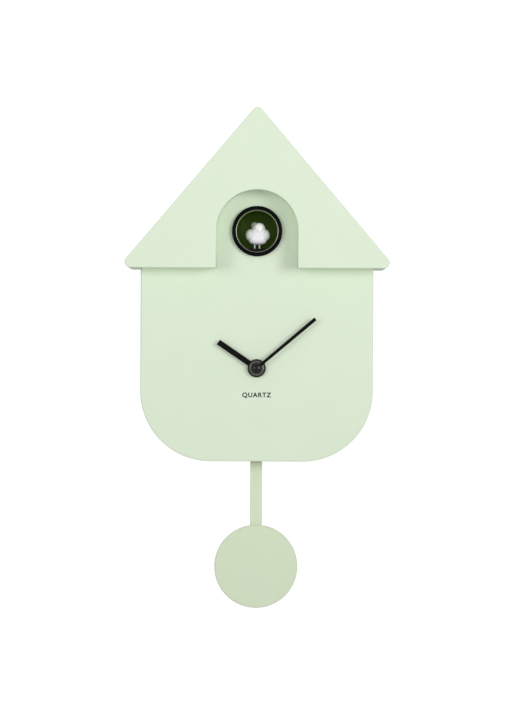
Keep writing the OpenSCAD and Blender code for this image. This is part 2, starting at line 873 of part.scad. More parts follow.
// Circuit board with its chip and the crystal that keeps the time
module movement_board() {
    y = move_floor_y + board_level;
    color([0.15, 0.35, 0.2]) block([-22, y, dial_z - 25.5], [22, y + 1, dial_z - 13]);
    color([0.1, 0.1, 0.1]) bar([-8, dial_z - 19], 2.5, y - 0.8, y);
    color([0.8, 0.8, 0.8]) translate([3, y - 1, dial_z - 19]) rotate([0, 90, 0]) cylinder(r = 1, h = 6);
}

// ---- hands ----

module hour_hand() {
    color([0.07, 0.07, 0.07])
    slab(hour_hand_y - hand_t, hour_hand_y) translate([0, dial_z]) difference() {
        union() {
            circle(hub_r);
            rotate(-hour_angle) translate([-hour_hand_w / 2, 0]) square([hour_hand_w, hour_hand_l]);
        }
        circle(hour_pipe_r);
    }
}

module minute_hand() {
    w = minute_hand_w;
    color([0.07, 0.07, 0.07])
    slab(minute_hand_y - hand_t, minute_hand_y) translate([0, dial_z]) difference() {
        union() {
            circle(cap_r - 0.3);
            rotate(-minute_angle) polygon([
                [-w[0] / 2, 0],
                [w[0] / 2, 0],
                [w[1] / 2, minute_hand_l],
                [-w[1] / 2, minute_hand_l]
            ]);
        }
        circle(arbor_r);
    }
}

module centre_cap() {
    back = minute_hand_y - hand_t;
    dome_r = (cap_r * cap_r + (cap_h - 1) * (cap_h - 1)) / (2 * (cap_h - 1));
    color([0.05, 0.05, 0.05])
    difference() {
        translate([0, back, dial_z]) rotate([90, 0, 0]) rotate_extrude() intersection() {
            square([cap_r, cap_h]);
            translate([0, cap_h - dome_r]) circle(dome_r);
        }
        bar([0, dial_z], arbor_r, back - 0.4, back + cut);
    }
}

module setting_knob() {
    c = [knob_c[0], dial_z + knob_c[1]];
    color([0.85, 0.85, 0.83]) {
        train_gear(knob_c, cannon_level, leaf_t, leaf_n, motion_m, knob_turn);
        bar(c, 1, move_floor_y - 0.8, knob_y[0]);
        difference() {
            bar(c, knob_r, knob_y[0], knob_y[1]);
            for (a = [0:20:359])
                bar(c + polar(knob_r + 0.5, a), 0.9, knob_y[0] - cut, knob_y[1] + cut);
        }
    }
}

// ---- pendulum ----

module pendulum_bracket() {
    y = bracket_y;
    color([0.12, 0.12, 0.13])
    difference() {
        union() {
            block([-14, y[0], base_z + 3.5], [14, y[1], pivot_z + 6]);
            bar([0, pivot_z], 4, y[0], hanger_y[0] - 1.2);
            bar([0, magnet_z], 3, y[0], -50);
        }
        bar([0, pivot_z], pin_r, hanger_y[0] - 9, 0);
        for (c = bracket_screws) bar(c, screw_r + 0.2, y[0] - cut, y[1] + cut);
    }
}

module pivot_pin() {
    color([0.75, 0.75, 0.77]) {
        bar([0, pivot_z], pin_r, hanger_y[0] - 8.5, hanger_y[1] + 0.4);
        bar([0, pivot_z], 2.8, hanger_y[1] + 0.4, hanger_y[1] + 1.4);
    }
}

module pendulum_hanger() {
    color([0.15, 0.15, 0.16])
    difference() {
        union() {
            slab(hanger_y[0], hanger_y[1]) {
                translate([0, pivot_z]) circle(5);
                translate([-3.5, magnet_z - 5]) square([7, pivot_z - magnet_z + 5]);
            }
            bar([0, hook_z], hook_r, hanger_y[1] - cut, rod_y[1] + 0.8);
        }
        bar([0, pivot_z], pin_r + fit, hanger_y[0] - cut, hanger_y[1] + cut);
    }
}

module pendulum_magnet() {
    color([0.6, 0.6, 0.62]) bar([0, magnet_z], 3, hanger_y[0] - 2, hanger_y[0]);
}

module drive_coil() {
    color([0.72, 0.4, 0.2])
    difference() {
        bar([0, magnet_z], 7, -50, hanger_y[0] - 3.2);
        bar([0, magnet_z], 2, -50 + cut, 0);
    }
}

module pendulum_rod() {
    color([0.85, 0.9, 0.8])
    slab(rod_y[0], rod_y[1]) difference() {
        union() {
            translate([-rod_w / 2, bob_z]) square([rod_w, rod_top_z - bob_z - rod_w / 2]);
            translate([0, rod_top_z - rod_w / 2]) circle(rod_w / 2);
            translate([0, bob_z]) circle(rod_w / 2);
        }
        translate([0, hook_z]) circle(hook_r);
    }
}

module pendulum_bob() {
    color([0.82, 0.87, 0.77])
    difference() {
        bar([0, bob_z], bob_r, bob_y[0], bob_y[1]);
        bar([0, bob_z], bob_r - bob_wall, bob_y[0] + bob_wall, bob_y[1] + cut);
        slab(rod_y[0], bob_y[1] + cut) translate([-rod_w / 2, bob_z]) square([rod_w, bob_r + cut]);
    }
    color([0.82, 0.87, 0.77]) bar([0, bob_z], 4, bob_y[0] + bob_wall / 2, rod_y[0]);
}

// ---- batteries ----

// The tray's opening, drawn in by inset
module tray_opening(inset, front, back) {
    block([cells_c[0] - tray_in[0] / 2 + inset, front, cells_c[1] - tray_in[1] / 2 + inset],
          [cells_c[0] + tray_in[0] / 2 - inset, back, cells_c[1] + tray_in[1] / 2 - inset]);
}

// Slot in the back cover that takes one of the door's pins
module door_pin_slot(side) {
    x = cells_c[0] + side * (tray_in[0] / 2 + door_pin_l / 2);
    translate([x, door_pin_y, door_pin_z]) rotate([0, 90, 0])
        cylinder(r = door_pin_r + fit, h = door_pin_l + 0.6, center = true);
}

module battery_tray() {
    back = cover_y;
    front = back - tray_d;
    color([0.16, 0.16, 0.17])
    difference() {
        tray_opening(-tray_wall, front - tray_wall, back);
        tray_opening(0, front, back + cut);
    }
}

// Each row's cell points the other way from its neighbour
function row_side(row) = row == 0 ? -1 : 1;

module battery_contacts() {
    color([0.8, 0.8, 0.82])
    for (row = cell_rows)
        for (side = [-1, 1])
            let (x = cells_c[0] + side * (tray_in[0] / 2 - 0.2), z = cells_c[1] + row * cell_pitch)
            block([x - 0.2, cells_y - 5.5, z - 5], [x + 0.2, cells_y + 5.5, z + 5]);
}

// Conical spring at each cell's flat end, as a swept round wire
module battery_springs() {
    color([0.8, 0.8, 0.82])
    for (row = cell_rows)
        let (side = row_side(row))
        translate([cells_c[0] - side * (tray_in[0] / 2 - 0.4 - spring_wire), cells_y,
                   cells_c[1] + row * cell_pitch])
            mirror([side > 0 ? 0 : 1, 0, 0]) conical_spring();
}

module conical_spring() {
    sides = 6;
    rings = spring_turns * spring_steps;
    points = [
        for (i = [0:rings])
            let (a = i * 360 / spring_steps, r = 4.6 - 2.2 * i / rings)
            for (k = [0:sides - 1])
                let (b = k * 360 / sides, q = r + spring_wire * cos(b))
                [spring_l * i / rings + spring_wire * sin(b), q * cos(a), q * sin(a)]
    ];
    faces = concat(
        [[for (k = [0:sides - 1]) k]],
        [for (i = [0:rings - 1]) for (k = [0:sides - 1])
            [i * sides + k, (i + 1) * sides + k, (i + 1) * sides + (k + 1) % sides]],
        [for (i = [0:rings - 1]) for (k = [0:sides - 1])
            [i * sides + k, (i + 1) * sides + (k + 1) % sides, i * sides + (k + 1) % sides]],
        [[for (k = [sides - 1:-1:0]) rings * sides + k]]
    );
    polyhedron(points, faces);
}

module battery_cells() {
    for (row = cell_rows)
        let (side = row_side(row), z = cells_c[1] + row * cell_pitch)
        color([0.75, 0.75, 0.77])
        translate([cells_c[0] + side * (tray_in[0] / 2 - 0.5 - cell_l), cells_y, z])
        rotate([0, side * 90, 0]) {
            cylinder(r = cell_r, h = cell_l - 1.2);
            cylinder(r = 2.7, h = cell_l);
        }
}

module battery_door() {
    half = tray_in[0] / 2 - 0.3;
    low = cells_c[1] - tray_in[1] / 2 + 0.3;
    color([0.85, 0.91, 0.81])
    difference() {
        union() {
            block([cells_c[0] - half, -door_t, low], [cells_c[0] + half, 0, door_pin_z - door_pin_r]);
            block([cells_c[0] - half, -door_t - 0.3, door_pin_z - door_pin_r],
                  [cells_c[0] + half, door_pin_y + door_pin_r, door_pin_z]);
            translate([cells_c[0], door_pin_y, door_pin_z]) rotate([0, 90, 0])
                cylinder(r = door_pin_r, h = tray_in[0] + 2 * door_pin_l - 0.4, center = true);
        }
        block([cells_c[0] - 8, -0.8, low + 3], [cells_c[0] + 8, cut, low + 6]);
    }
}

// ---- sound ----

module speaker_basket() {
    front = cover_y - speaker_d;
    color([0.3, 0.3, 0.32])
    translate([speaker_c[0], 0, speaker_c[1]]) rotate([90, 0, 0]) rotate_extrude() polygon([
        [speaker_r - 3, -cover_y],
        [speaker_r, -cover_y],
        [speaker_r, -cover_y + 2],
        [speaker_r - 3, -cover_y + 4],
        [15, -front - 1],
        [15, -front],
        [9, -front],
        [9, -front - 1.2],
        [13.6, -front - 1.2],
        [speaker_r - 4.6, -cover_y + 3.6]
    ]);
}

module speaker_cone() {
    color([0.12, 0.12, 0.12])
    translate([speaker_c[0], 0, speaker_c[1]]) rotate([90, 0, 0]) rotate_extrude() polygon([
        [0, 5.5 - cover_y],
        [5, 4.5 - cover_y],
        [8, 8 - cover_y],
        [speaker_r - 5.4, 2.4 - cover_y],
        [speaker_r - 5.2, 3 - cover_y],
        [8, 9.2 - cover_y],
        [0, 9.2 - cover_y]
    ]);
}

module speaker_magnet() {
    front = cover_y - speaker_d;
    color([0.6, 0.6, 0.62]) bar(speaker_c, 12, front - 6, front);
}

module sound_board() {
    y = board_y;
    color([0.12, 0.33, 0.18])
    difference() {
        block([board_c[0] - board[0] / 2, y[0], board_c[1] - board[1] / 2],
              [board_c[0] + board[0] / 2, y[1], board_c[1] + board[1] / 2]);
        for (c = board_screws) bar(c, screw_r + 0.2, y[0] - cut, y[1] + cut);
    }
}

module board_parts() {
    y = board_y[0];
    c = board_c;
    color([0.1, 0.1, 0.1]) {
        block([c[0] - 8, y - 1.8, c[1] - 2], [c[0] + 4, y, c[1] + 5]);
        bar(c + [14, 4], 3, y - 8, y);
        bar(c + [14, -5], 2.5, y - 6, y);
        block([c[0] - 20, y - 5, c[1] - 4], [c[0] - 14, y, c[1] + 6]);
    }
}

module switch_body() {
    y = board_y[1];
    color([0.7, 0.7, 0.72])
    difference() {
        block([switch_c[0] - 6, y, switch_c[1] - 3], [switch_c[0] + 6, y + 4, switch_c[1] + 3]);
        block([switch_c[0] - 2 - switch_travel / 2 - 0.3, y + 1, switch_c[1] - 1.5],
              [switch_c[0] + 2 + switch_travel / 2 + 0.3, y + 4 + cut, switch_c[1] + 1.5]);
    }
}

// Rests at its left end and slides to the right
module volume_slider() {
    y = board_y[1];
    x = switch_c[0] - switch_travel / 2;
    color([0.1, 0.1, 0.1])
    block([x - 2, y + 1.4, switch_c[1] - 1.2], [x + 2, -0.6, switch_c[1] + 1.2]);
}

module button_body() {
    y = board_y[1];
    color([0.1, 0.1, 0.1])
    difference() {
        block([button_c[0] - 4, y, button_c[1] - 4], [button_c[0] + 4, y + 5, button_c[1] + 4]);
        bar(button_c, 1.8, y + 1, y + 5 + cut);
    }
}

module test_button() {
    y = board_y[1];
    color([0.8, 0.25, 0.2]) {
        bar(button_c, button_r, y + 6.8, -0.5);
        bar(button_c, 1.7, y + 2.8, y + 6.8);
    }
}

module light_sensor() {
    color([0.9, 0.9, 0.85]) {
        translate([sensor_x, sensor_y, base_z + 0.5]) cylinder(r = sensor_r, h = 5);
        translate([sensor_x, sensor_y, base_z + wall]) cylinder(r = sensor_r + 0.8, h = 1);
    }
}

// ---- fasteners ----

module cover_screws() {
    color([0.75, 0.75, 0.77])
    for (c = cover_posts) screw(c, -screw_head_h - 0.2, 12);
}

module inner_screws() {
    color([0.75, 0.75, 0.77]) {
        for (c = bracket_screws) screw(c, bracket_y[1], 5);
        for (c = gearbox_screws) screw(c, inner_y + 6, 5);
        for (c = board_screws) screw(c, board_y[1], 8);
        for (c = roof_bosses) screw(c, inner_y, 10);
    }
}

front_housing();
roof_cover();
back_cover();
bezel_ring();
bird_chamber();
bird_slider();
bird_body();
bird_wings();
bird_beak();
bird_legs();
slide_guide();
gearbox_frame();
reduction_gear();
motor_pinion();
bird_motor();
movement_case();
movement_cover();
rubber_washer();
centre_nut();
cannon_pinion();
centre_wheel();
minute_wheel();
hour_wheel();
third_wheel();
seconds_wheel();
fifth_wheel();
step_rotor();
stator();
step_coil();
movement_board();
hour_hand();
minute_hand();
centre_cap();
setting_knob();
pendulum_bracket();
pivot_pin();
pendulum_hanger();
pendulum_magnet();
drive_coil();
pendulum_rod();
pendulum_bob();
battery_tray();
battery_contacts();
battery_springs();
battery_cells();
battery_door();
speaker_basket();
speaker_cone();
speaker_magnet();
sound_board();
board_parts();
switch_body();
volume_slider();
button_body();
test_button();
light_sensor();
cover_screws();
inner_screws();
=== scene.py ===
"""Looks of the house-shaped wall cuckoo clock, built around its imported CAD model."""

import json
import math

import bmesh
import bpy
from mathutils import Matrix, Vector

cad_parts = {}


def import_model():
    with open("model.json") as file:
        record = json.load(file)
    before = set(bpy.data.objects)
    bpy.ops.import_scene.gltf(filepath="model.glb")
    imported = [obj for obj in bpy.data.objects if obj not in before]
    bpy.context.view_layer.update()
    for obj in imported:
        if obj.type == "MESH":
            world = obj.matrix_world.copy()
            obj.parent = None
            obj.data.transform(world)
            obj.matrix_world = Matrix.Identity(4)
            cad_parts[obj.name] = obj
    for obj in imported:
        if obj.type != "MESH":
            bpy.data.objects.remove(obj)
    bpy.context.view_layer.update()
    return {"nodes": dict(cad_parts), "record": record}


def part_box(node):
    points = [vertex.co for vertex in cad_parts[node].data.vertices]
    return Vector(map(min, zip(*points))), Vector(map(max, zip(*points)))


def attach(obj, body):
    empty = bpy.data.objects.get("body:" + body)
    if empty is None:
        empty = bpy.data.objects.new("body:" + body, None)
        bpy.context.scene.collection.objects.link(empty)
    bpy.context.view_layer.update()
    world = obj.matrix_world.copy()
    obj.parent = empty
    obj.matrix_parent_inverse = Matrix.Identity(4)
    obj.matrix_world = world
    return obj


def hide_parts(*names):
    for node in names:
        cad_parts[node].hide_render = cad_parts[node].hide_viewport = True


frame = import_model()

MM = 0.001
NODES = frame["nodes"]
SLOT_OF = {p["node"]: p["material_slot"] for p in frame["record"]["subparts"]}
BODY_OF = {n: body for body, nodes in frame["record"]["behaviour"]["bodies"].items() for n in nodes}


def middle(node):
    """The centre of a CAD node's box."""
    low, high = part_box(node)
    return (low + high) / 2


def radius(node):
    """Half the width of a round CAD node."""
    low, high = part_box(node)
    return (high.x - low.x) / 2


RING = middle("bezel_ring")
DIAL = middle("centre_cap")
BOB = middle("pendulum_bob")
ROOF_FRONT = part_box("roof_cover")[0].y
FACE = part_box("front_housing")[0].y
RING_R = radius("bezel_ring")
RING_BORE_R = 17.1 * MM
BOB_R = radius("pendulum_bob")
CAP_R = radius("centre_cap")
HUB_R = 6.75 * MM
HUB_BORE_R = 2.6 * MM
HUB_RIM_R = 5.35 * MM
WORD_DROP = 22 * MM


# ---- materials ----

def linear(colour):
    """A colour given in sRGB from 0 to 255, as the shader takes it."""
    out = []
    for c in colour:
        c = c / 255
        out.append(c / 12.92 if c <= 0.04045 else ((c + 0.055) / 1.055) ** 2.4)
    return (*out, 1)


def noise(tree, scale, detail=3, stretch=None):
    """Noise over the piece's own coordinates; scale is in features per metre."""
    coords = tree.nodes.new("ShaderNodeTexCoord")
    socket = coords.outputs["Object"]
    if stretch:
        mapping = tree.nodes.new("ShaderNodeMapping")
        mapping.inputs["Scale"].default_value = stretch
        tree.links.new(socket, mapping.inputs["Vector"])
        socket = mapping.outputs["Vector"]
    node = tree.nodes.new("ShaderNodeTexNoise")
    node.inputs["Scale"].default_value = scale
    node.inputs["Detail"].default_value = detail
    tree.links.new(socket, node.inputs["Vector"])
    return node.outputs["Fac"]


def spread(tree, socket, low, high):
    """The socket's middle range, from 0.3 to 0.7, spread over low to high."""
    node = tree.nodes.new("ShaderNodeMapRange")
    node.inputs["From Min"].default_value = 0.3
    node.inputs["From Max"].default_value = 0.7
    node.inputs["To Min"].default_value = low
    node.inputs["To Max"].default_value = high
    tree.links.new(socket, node.inputs["Value"])
    return node.outputs["Result"]


def finish(name, colour, other=None, rough=(0.4, 0.5), mottle=40, grain=2500, relief=0.00002,
           metallic=0, coat=0, specular=0.5, stretch=None, subsurface=0):
    """A procedural finish: mottled colour, varied gloss and a fine grain.

    Colours are sRGB from 0 to 255. mottle and grain are in features per metre, relief is in metres.
    """
    mat = bpy.data.materials.new(name)
    mat.use_nodes = True
    tree = mat.node_tree
    shader = tree.nodes["Principled BSDF"]
    mix = tree.nodes.new("ShaderNodeMix")
    mix.data_type = "RGBA"
    mix.inputs["A"].default_value = linear(colour)
    mix.inputs["B"].default_value = linear(other or [c * 0.97 for c in colour])
    tree.links.new(spread(tree, noise(tree, mottle), 0, 1), mix.inputs["Factor"])
    tree.links.new(mix.outputs["Result"], shader.inputs["Base Color"])
    gloss = spread(tree, noise(tree, grain * 0.2, stretch=stretch), *rough)
    tree.links.new(gloss, shader.inputs["Roughness"])
    bump = tree.nodes.new("ShaderNodeBump")
    bump.inputs["Strength"].default_value = 0.6
    bump.inputs["Distance"].default_value = relief
    tree.links.new(noise(tree, grain, 2, stretch=stretch), bump.inputs["Height"])
    tree.links.new(bump.outputs["Normal"], shader.inputs["Normal"])
    shader.inputs["Metallic"].default_value = metallic
    shader.inputs["Coat Weight"].default_value = coat
    shader.inputs["Coat Roughness"].default_value = 0.05
    shader.inputs["Specular IOR Level"].default_value = specular
    shader.inputs["IOR"].default_value = 1.5
    shader.inputs["Subsurface Weight"].default_value = subsurface
    shader.inputs["Subsurface Radius"].default_value = (0.6, 0.7, 0.5)
    shader.inputs["Subsurface Scale"].default_value = 1 * MM
    return mat


MINT = (226, 240, 217)
FINISHES = {
    "mint_shell": finish("mint_shell", MINT, (224, 239, 215), (0.44, 0.52)),
    "mint_cover": finish("mint_cover", (221, 236, 211), (217, 233, 206), (0.5, 0.6), relief=0.00003),
    "mint_pendulum": finish("mint_pendulum", (222, 235, 206), (219, 233, 202), (0.42, 0.5)),
    "ring_black": finish("ring_black", (6, 6, 6), (4, 4, 4), (0.12, 0.18), relief=0.000003, specular=0.12),
    # chamber_green: the chamber behind the window is mint plastic like the housing; this darker olive
    # colour is painted shade and painted green bounce light for its dim inside.
    "chamber_green": finish("chamber_green", (120, 152, 68), (110, 142, 58), (0.5, 0.6), relief=0.00001,
                            specular=0.1),
    "perch_black": finish("perch_black", (8, 8, 7), (5, 5, 5), (0.5, 0.6), relief=0.00001, specular=0.15),
    "bird_white": finish("bird_white", (247, 245, 252), (243, 242, 250), (0.4, 0.5), grain=1500,
                         subsurface=0.2),
    # wing_grey: greyer than the bird's white, painted shade for the wings and the raised tail, which sit
    # back in shadow.
    "wing_grey": finish("wing_grey", (226, 231, 228), (219, 225, 221), (0.5, 0.6), grain=1500,
                        specular=0.3, subsurface=0.2),
    # beak_white: whiter than the bird's body, a painted highlight on the beak that also paints out the
    # shade in its crease with the head.
    "beak_white": finish("beak_white", (253, 253, 254), (250, 250, 252), (0.3, 0.4), grain=1500,
                         subsurface=0.3),
    "leg_grey": finish("leg_grey", (205, 207, 210), (196, 198, 202), (0.3, 0.4)),
    "black_plastic": finish("black_plastic", (30, 30, 32), (24, 24, 26), (0.5, 0.65), relief=0.00004),
    "hand_black": finish("hand_black", (8, 9, 5), (5, 6, 3), (0.5, 0.6), relief=0.000006, specular=0.12),
    "cap_black": finish("cap_black", (5, 5, 5), (4, 4, 4), (0.28, 0.34), relief=0.000003, specular=0.45),
    "gear_nylon": finish("gear_nylon", (232, 229, 215), (226, 222, 206), (0.4, 0.55), subsurface=0.1),
    "rotor_dark": finish("rotor_dark", (52, 52, 55), (44, 44, 48), (0.45, 0.6)),
    "brass": finish("brass", (206, 174, 104), (190, 156, 88), (0.2, 0.35), metallic=1, stretch=(8, 1, 8)),
    "steel": finish("steel", (186, 188, 192), (170, 172, 177), (0.22, 0.38), metallic=1, stretch=(8, 1, 8)),
    "copper_wire": finish("copper_wire", (186, 104, 62), (160, 82, 46), (0.25, 0.4), metallic=1, grain=4000,
                          relief=0.0001, stretch=(1, 12, 1)),
    "board_green": finish("board_green", (34, 92, 50), (28, 80, 42), (0.25, 0.35), coat=0.3),
    "rubber_black": finish("rubber_black", (28, 28, 28), (22, 22, 22), (0.7, 0.85), relief=0.00006),
    "cell_metal": finish("cell_metal", (176, 178, 182), (160, 162, 167), (0.25, 0.4), metallic=1,
                         stretch=(1, 8, 8)),
    "cone_paper": finish("cone_paper", (34, 34, 34), (26, 26, 26), (0.75, 0.9), relief=0.0001),
    "button_red": finish("button_red", (186, 48, 40), (176, 42, 34), (0.3, 0.4)),
    "sensor_clear": finish("sensor_clear", (232, 232, 224), (224, 224, 214), (0.1, 0.2), coat=0.5),
}
# Bright metal on the dark ring's lip bead and the hub's fine ring: a painted highlight, standing in for the
# thin line of light along their rounded edges.
RIM_HIGHLIGHT = finish("rim_highlight_metal", (222, 226, 214), (212, 217, 204), (0.3, 0.34), relief=0.000002, metallic=1)
HUB = finish("hub_grey", (60, 57, 52), (52, 50, 46), (0.4, 0.5), relief=0.000002, specular=0.3)
INK = finish("dial_ink", (18, 26, 18), (14, 20, 14), (0.6, 0.7), relief=0.000005, specular=0.2)


# ---- mesh tools ----

def from_bmesh(name, bm):
    """A new object from a bmesh."""
    bmesh.ops.recalc_face_normals(bm, faces=bm.faces)
    mesh = bpy.data.meshes.new(name)
    bm.to_mesh(mesh)
    bm.free()
    obj = bpy.data.objects.new(name, mesh)
    bpy.context.scene.collection.objects.link(obj)
    return obj


def smooth(obj, angle=35, weighted=True):
    """Smooth shading with edges kept sharp over an angle."""
    mesh = obj.data
    mesh.shade_smooth()
    mesh.set_sharp_from_angle(angle=math.radians(angle))
    if weighted:
        modifier = obj.modifiers.new("weighted", "WEIGHTED_NORMAL")
        modifier.keep_sharp = True
        modifier.weight = 100
    return obj


def applied(obj):
    """Writes the object's modifiers into its mesh."""
    graph = bpy.context.evaluated_depsgraph_get()
    mesh = bpy.data.meshes.new_from_object(obj.evaluated_get(graph))
    obj.modifiers.clear()
    obj.data = mesh
    return obj


def place(obj, node, material=None, replaces=()):
    """The piece rides with a CAD node, takes its slot and finish, and stands for the nodes given."""
    obj.data.materials.clear()
    obj.data.materials.append(material or FINISHES[SLOT_OF[node]])
    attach(obj, BODY_OF[node])
    if replaces:
        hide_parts(*replaces)
    return obj


def rounded_copy(name, node, chosen, width, segments=5):
    """A copy of a CAD node with the chosen sharp edges rounded by width."""
    bm = bmesh.new()
    bm.from_mesh(NODES[node].data)
    bmesh.ops.remove_doubles(bm, verts=bm.verts, dist=1e-6)
    bmesh.ops.dissolve_limit(bm, angle_limit=math.radians(0.3), verts=bm.verts, edges=bm.edges)
    sharp = [e for e in bm.edges if len(e.link_faces) == 2 and e.calc_face_angle(0) > math.radians(40)]
    picked = [e for e in sharp if chosen(e, (e.verts[0].co + e.verts[1].co) / 2)]
    bmesh.ops.bevel(bm, geom=picked, offset=width, segments=segments, profile=0.5, affect="EDGES",
                    clamp_overlap=False)
    obj = smooth(from_bmesh(name, bm))
    return place(obj, node, replaces=[node])


def on_plane(y):
    """Picks the edges that bound a flat face at depth y."""
    def chosen(edge, mid):
        return all(abs(v.co.y - y) < 1e-5 for v in edge.verts)
    return chosen


def lathe(name, profile, centre, steps=128):
    """A piece turned about a line along Y through centre. The profile is a closed loop of (radius, y)."""
    bm = bmesh.new()
    rings = []
    for i in range(steps):
        a = 2 * math.pi * i / steps
        rings.append([
            bm.verts.new((centre.x + r * math.cos(a), y, centre.z + r * math.sin(a))) for r, y in profile
        ])
    for i in range(steps):
        here, there = rings[i], rings[(i + 1) % steps]
        for k in range(len(profile)):
            n = (k + 1) % len(profile)
            bm.faces.new((here[k], here[n], there[n], there[k]))
    bmesh.ops.remove_doubles(bm, verts=bm.verts, dist=1e-7)
    bmesh.ops.dissolve_degenerate(bm, edges=bm.edges, dist=1e-8)
    return from_bmesh(name, bm)


def arc(cx, cy, r, start, end, steps=8):
    """Points on an arc, with its angles in degrees."""
    return [
        (cx + r * math.cos(math.radians(start + (end - start) * i / steps)),
         cy + r * math.sin(math.radians(start + (end - start) * i / steps)))
        for i in range(steps + 1)
    ]


def blob(bm, centre, radii, power=2, turn=None, segments=40):
    """Adds a ball to bm, with its own radii; a power over 2 makes it boxier."""
    made = bmesh.ops.create_uvsphere(bm, u_segments=segments, v_segments=segments // 2, radius=1)
    for v in made["verts"]:
        norm = sum(abs(c) ** power for c in v.co) ** (1 / power)
        p = Vector(c * r / norm for c, r in zip(v.co, radii))
        if turn:
            p = turn @ p
        v.co = p + Vector(centre)


def melted(obj, voxel, passes):
    """Overlapping balls turned into one smooth skin."""
    remesh = obj.modifiers.new("remesh", "REMESH")
    remesh.mode = "VOXEL"
    remesh.voxel_size = voxel
    relax = obj.modifiers.new("relax", "SMOOTH")
    relax.factor = 0.5
    relax.iterations = passes
    applied(obj)
    obj.data.shade_smooth()
    return obj


# ---- housing ----

def housing():
    """The housing with the outline of its face rounded."""
    base_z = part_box("front_housing")[0].z
    side_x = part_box("front_housing")[1].x
    curve_z = base_z + 60 * MM

    def outline(edge, mid):
        return on_plane(FACE)(edge, mid) and (abs(mid.x) > side_x - 1 * MM or mid.z < curve_z)

    rounded_copy("housing_shell", "front_housing", outline, 1.2 * MM)


def roof():
    """The roof with every edge of its front rounded."""
    rounded_copy("roof_shell", "roof_cover", on_plane(ROOF_FRONT), 0.7 * MM)


def pendulum():
    """The bob with both rims rounded, and the rod with its long edges rounded."""
    def rim(edge, mid):
        return math.hypot(mid.x - BOB.x, mid.z - BOB.z) > BOB_R - 0.5 * MM

    rounded_copy("bob_shell", "pendulum_bob", rim, 1.4 * MM)
    hook_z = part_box("pendulum_rod")[1].z - 12 * MM

    def edges(edge, mid):
        return abs(edge.verts[0].co.y - edge.verts[1].co.y) < 1e-6 and mid.z < hook_z

    rounded_copy("rod_bar", "pendulum_rod", edges, 0.7 * MM, 3)


# ---- bird window ----

def window():
    """The black ring, with a rounded rim, and the fine lip round its bore, made of bright metal as a
    painted highlight.
    """
    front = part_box("bezel_ring")[0].y
    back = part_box("bezel_ring")[1].y
    neck_r = RING_BORE_R + 1.2 * MM
    rim = 1.1 * MM
    edge = 0.5 * MM
    lip = 0.17 * MM
    step_r = RING_BORE_R + 2 * lip
    step_y = front + 0.6 * MM
    profile = [(neck_r, back), (neck_r, FACE), (RING_R, FACE)]
    profile += arc(RING_R - rim, front + rim, rim, 0, -90)
    profile += arc(step_r + edge, front + edge, edge, -90, -180, 5)
    profile += [(step_r, step_y), (RING_BORE_R, step_y), (RING_BORE_R, back)]
    place(smooth(lathe("window_ring", profile, RING)), "bezel_ring", replaces=["bezel_ring"])
    bead = arc(RING_BORE_R + 0.05 * MM, front + 0.55 * MM, lip, 0, 330, 11)
    # The lip bead takes the bright metal finish, a painted highlight line round the bore.
    place(smooth(lathe("window_lip", bead, RING, 256), 80, False), "bezel_ring", RIM_HIGHLIGHT)


def bird():
    """A plump white bird that faces the front, with its tail raised behind it.

    Places are in millimetres from the ring's centre line, with y from just behind the legs' middle.
    """
    origin = Vector((RING.x, middle("bird_legs").y + 0.5 * MM, RING.z))

    def at(x, y, z):
        return origin + Vector((x, y, z)) * MM

    def sized(*radii):
        return [r * MM for r in radii]

    bm = bmesh.new()
    blob(bm, at(0.5, 0.8, -5.6), sized(7.5, 7.0, 5.4), 2.8)
    blob(bm, at(0.7, 0.4, -2.6), sized(7.0, 6.4, 5.2), 2.2)
    blob(bm, at(1.2, 0.0, -0.4), sized(6.2, 5.8, 5.0), 2.1)
    blob(bm, at(1.5, -0.8, 2.0), sized(5.0, 5.2, 5.2), 2.1)
    blob(bm, at(-0.8, 6.0, -1.5), sized(3.6, 5, 4.4), turn=Matrix.Rotation(math.radians(35), 3, "X"))
    body = melted(from_bmesh("bird_figure", bm), 0.3 * MM, 8)
    place(body, "bird_body", replaces=["bird_body"])

    bm = bmesh.new()
    for side in (-1, 1):
        lean = Matrix.Rotation(math.radians(side * -7), 3, "Y")
        blob(bm, at(0.45 + side * 5.8, 0.6, -3.0), sized(4.2, 5.6, 5.0), 2.0, lean)
    blob(bm, at(-2.3, 10.5, 4.9), sized(2.9, 2.2, 3.3), turn=Matrix.Rotation(math.radians(-20), 3, "X"))
    wings = melted(from_bmesh("bird_wing_pair", bm), 0.3 * MM, 4)
    place(wings, "bird_wings", replaces=["bird_wings"])

    bm = bmesh.new()
    steps = 8
    for i in range(steps + 1):
        t = i / steps
        size = 3.5 - 2.0 * t
        spot = at(1.6 + 0.2 * t, -4.7 - 1.2 * t, 3.0 - 2.8 * t)
        blob(bm, spot, sized(size, size * 0.55, size), segments=24)
    beak = melted(from_bmesh("bird_beak_tip", bm), 0.2 * MM, 6)
    place(beak, "bird_beak", replaces=["bird_beak"])

    bm = bmesh.new()
    for x in (-2.0, 1.9):
        blob(bm, at(x, 0, -12.3), sized(0.62, 0.62, 2.6), 3.5, segments=24)
        for turn in (-20, 0, 20):
            spin = Matrix.Rotation(math.radians(turn), 3, "Z")
            toe = at(x, 0, -13.9) + spin @ Vector((0, -1.0 * MM, 0))
            blob(bm, toe, sized(0.36, 1.2, 0.3), turn=spin, segments=16)
    legs = melted(from_bmesh("bird_leg_pair", bm), 0.16 * MM, 2)
    place(legs, "bird_legs", replaces=["bird_legs"])


# ---- hands ----

def hands():
    """Copies of the two hands with softened edges."""
    for node in ("hour_hand", "minute_hand"):
        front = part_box(node)[0].y
        rounded_copy(node + "_blade", node, on_plane(front), 0.08 * MM, 2)


